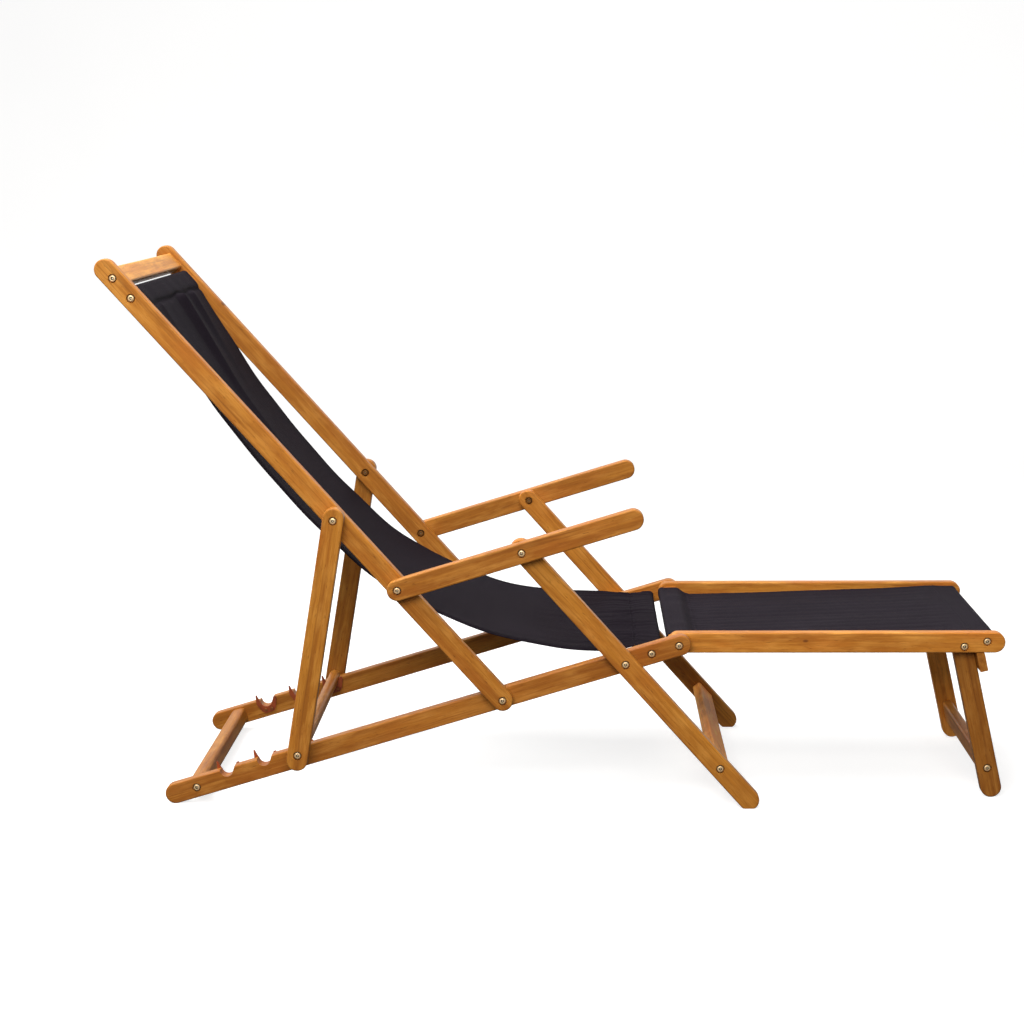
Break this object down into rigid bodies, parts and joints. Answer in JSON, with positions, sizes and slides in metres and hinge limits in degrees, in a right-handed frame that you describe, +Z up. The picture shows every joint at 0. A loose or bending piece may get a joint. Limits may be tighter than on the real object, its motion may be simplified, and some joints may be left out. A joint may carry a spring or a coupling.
{
  "type": "folding sun lounger",
  "caption": "Folding wooden deck lounger with a canvas sling seat, armrests, a notched reclining prop and a hinged sling footrest on folding legs.",
  "frame": {"origin": "on the floor under the middle of the overall box", "axes": "+X towards the footrest, +Y to the sitter's left, +Z up"},
  "size_m": [1.6772, 0.6, 1.0339],
  "materials": {
    "oiled_wood": "oiled honey-brown hardwood, satin, rounded-over edges",
    "sling_cloth": "matte anthracite canvas, plain weave",
    "bolt_zinc": "yellow passivated, satin",
    "inner_steel": "zinc plated",
    "washer_nylon": "black nylon",
    "clip_plastic": "red-brown moulded plastic"
  },
  "bodies": {
    "seat_frame": {"seat_rail_left": "oiled_wood", "seat_rail_right": "oiled_wood", "rear_cross_rail": "oiled_wood", "seat_front_slat": "oiled_wood", "notch_clips_left": "clip_plastic", "notch_clips_right": "clip_plastic", "notch_clip_screws": "bolt_zinc", "seat_frame_bolts": "bolt_zinc", "seat_frame_barrel_nuts": "inner_steel", "sling_seat": "sling_cloth"},
    "back_frame": {"back_rail_left": "oiled_wood", "back_rail_right": "oiled_wood", "top_cross_rail": "oiled_wood", "sling_top_slat": "oiled_wood", "back_frame_bolts": "bolt_zinc", "back_frame_barrel_nuts": "inner_steel", "backrest_pivot_bolts": "bolt_zinc", "backrest_pivot_nuts": "bolt_zinc", "backrest_pivot_washers": "washer_nylon", "sling_back": "sling_cloth"},
    "prop_frame": {"prop_leg_left": "oiled_wood", "prop_leg_right": "oiled_wood", "prop_dowel": "oiled_wood", "prop_dowel_bolts": "bolt_zinc", "prop_dowel_inserts": "inner_steel", "prop_pivot_bolts": "bolt_zinc", "prop_pivot_nuts": "bolt_zinc", "prop_pivot_washers": "washer_nylon"},
    "front_legs": {"front_leg_left": "oiled_wood", "front_leg_right": "oiled_wood", "front_leg_cross_rail": "oiled_wood", "front_leg_bolts": "bolt_zinc", "front_leg_barrel_nuts": "inner_steel", "front_leg_pivot_bolts": "bolt_zinc", "front_leg_pivot_nuts": "bolt_zinc", "front_leg_pivot_washers": "washer_nylon"},
    "armrests": {"armrest_left": "oiled_wood", "armrest_right": "oiled_wood", "armrest_pivot_bolts": "bolt_zinc", "armrest_pivot_nuts": "bolt_zinc", "armrest_pivot_washers": "washer_nylon"},
    "footrest": {"footrest_rail_left": "oiled_wood", "footrest_rail_right": "oiled_wood", "footrest_hinge_slat": "oiled_wood", "footrest_end_slat": "oiled_wood", "footrest_end_bolts": "bolt_zinc", "footrest_hinge_bolts": "bolt_zinc", "footrest_barrel_nuts": "inner_steel", "footrest_hinge_washers": "washer_nylon", "footrest_sling": "sling_cloth", "footrest_leg_pivot_bolts": "bolt_zinc", "footrest_leg_pivot_nuts": "bolt_zinc", "footrest_leg_pivot_washers": "washer_nylon"},
    "footrest_legs": {"footrest_leg_left": "oiled_wood", "footrest_leg_right": "oiled_wood", "footrest_leg_cross_rail": "oiled_wood", "leg_stop_slat": "oiled_wood", "footrest_leg_bolts": "bolt_zinc", "footrest_leg_barrel_nuts": "inner_steel", "stop_slat_screws": "bolt_zinc"}
  },
  "joints": [
    {"name": "backrest_fold", "type": "hinge", "parent": "seat_frame", "child": "back_frame", "pos_m": [-0.10769, 0, 0.2086], "axis": [0, 1, 0], "range_deg": [0, 95]},
    {"name": "prop_swing", "type": "hinge", "parent": "back_frame", "child": "prop_frame", "pos_m": [-0.41419, 0, 0.55576], "axis": [0, 1, 0], "range_deg": [-38, 0]},
    {"name": "armrest_swing", "type": "hinge", "parent": "back_frame", "child": "armrests", "pos_m": [-0.29877, 0, 0.42503], "axis": [0, 1, 0], "range_deg": [-95, 0]},
    {"name": "front_leg_fold", "type": "hinge", "parent": "seat_frame", "child": "front_legs", "pos_m": [0.12203, 0, 0.27809], "axis": [0, 1, 0], "range_deg": [0, 95]},
    {"name": "footrest_hinge", "type": "hinge", "parent": "seat_frame", "child": "footrest", "pos_m": [0.22234, 0, 0.30843], "axis": [0, 1, 0], "range_deg": [-140, 25]},
    {"name": "footrest_leg_fold", "type": "hinge", "parent": "footrest", "child": "footrest_legs", "pos_m": [0.75527, 0, 0.30043], "axis": [0, 1, 0], "range_deg": [0, 97]}
  ],
  "couplings": [
    {"joint": "prop_swing", "follows": "backrest_fold", "ratio": -0.394},
    {"joint": "armrest_swing", "follows": "backrest_fold", "ratio": -1},
    {"joint": "front_leg_fold", "follows": "backrest_fold", "ratio": 1}
  ]
}
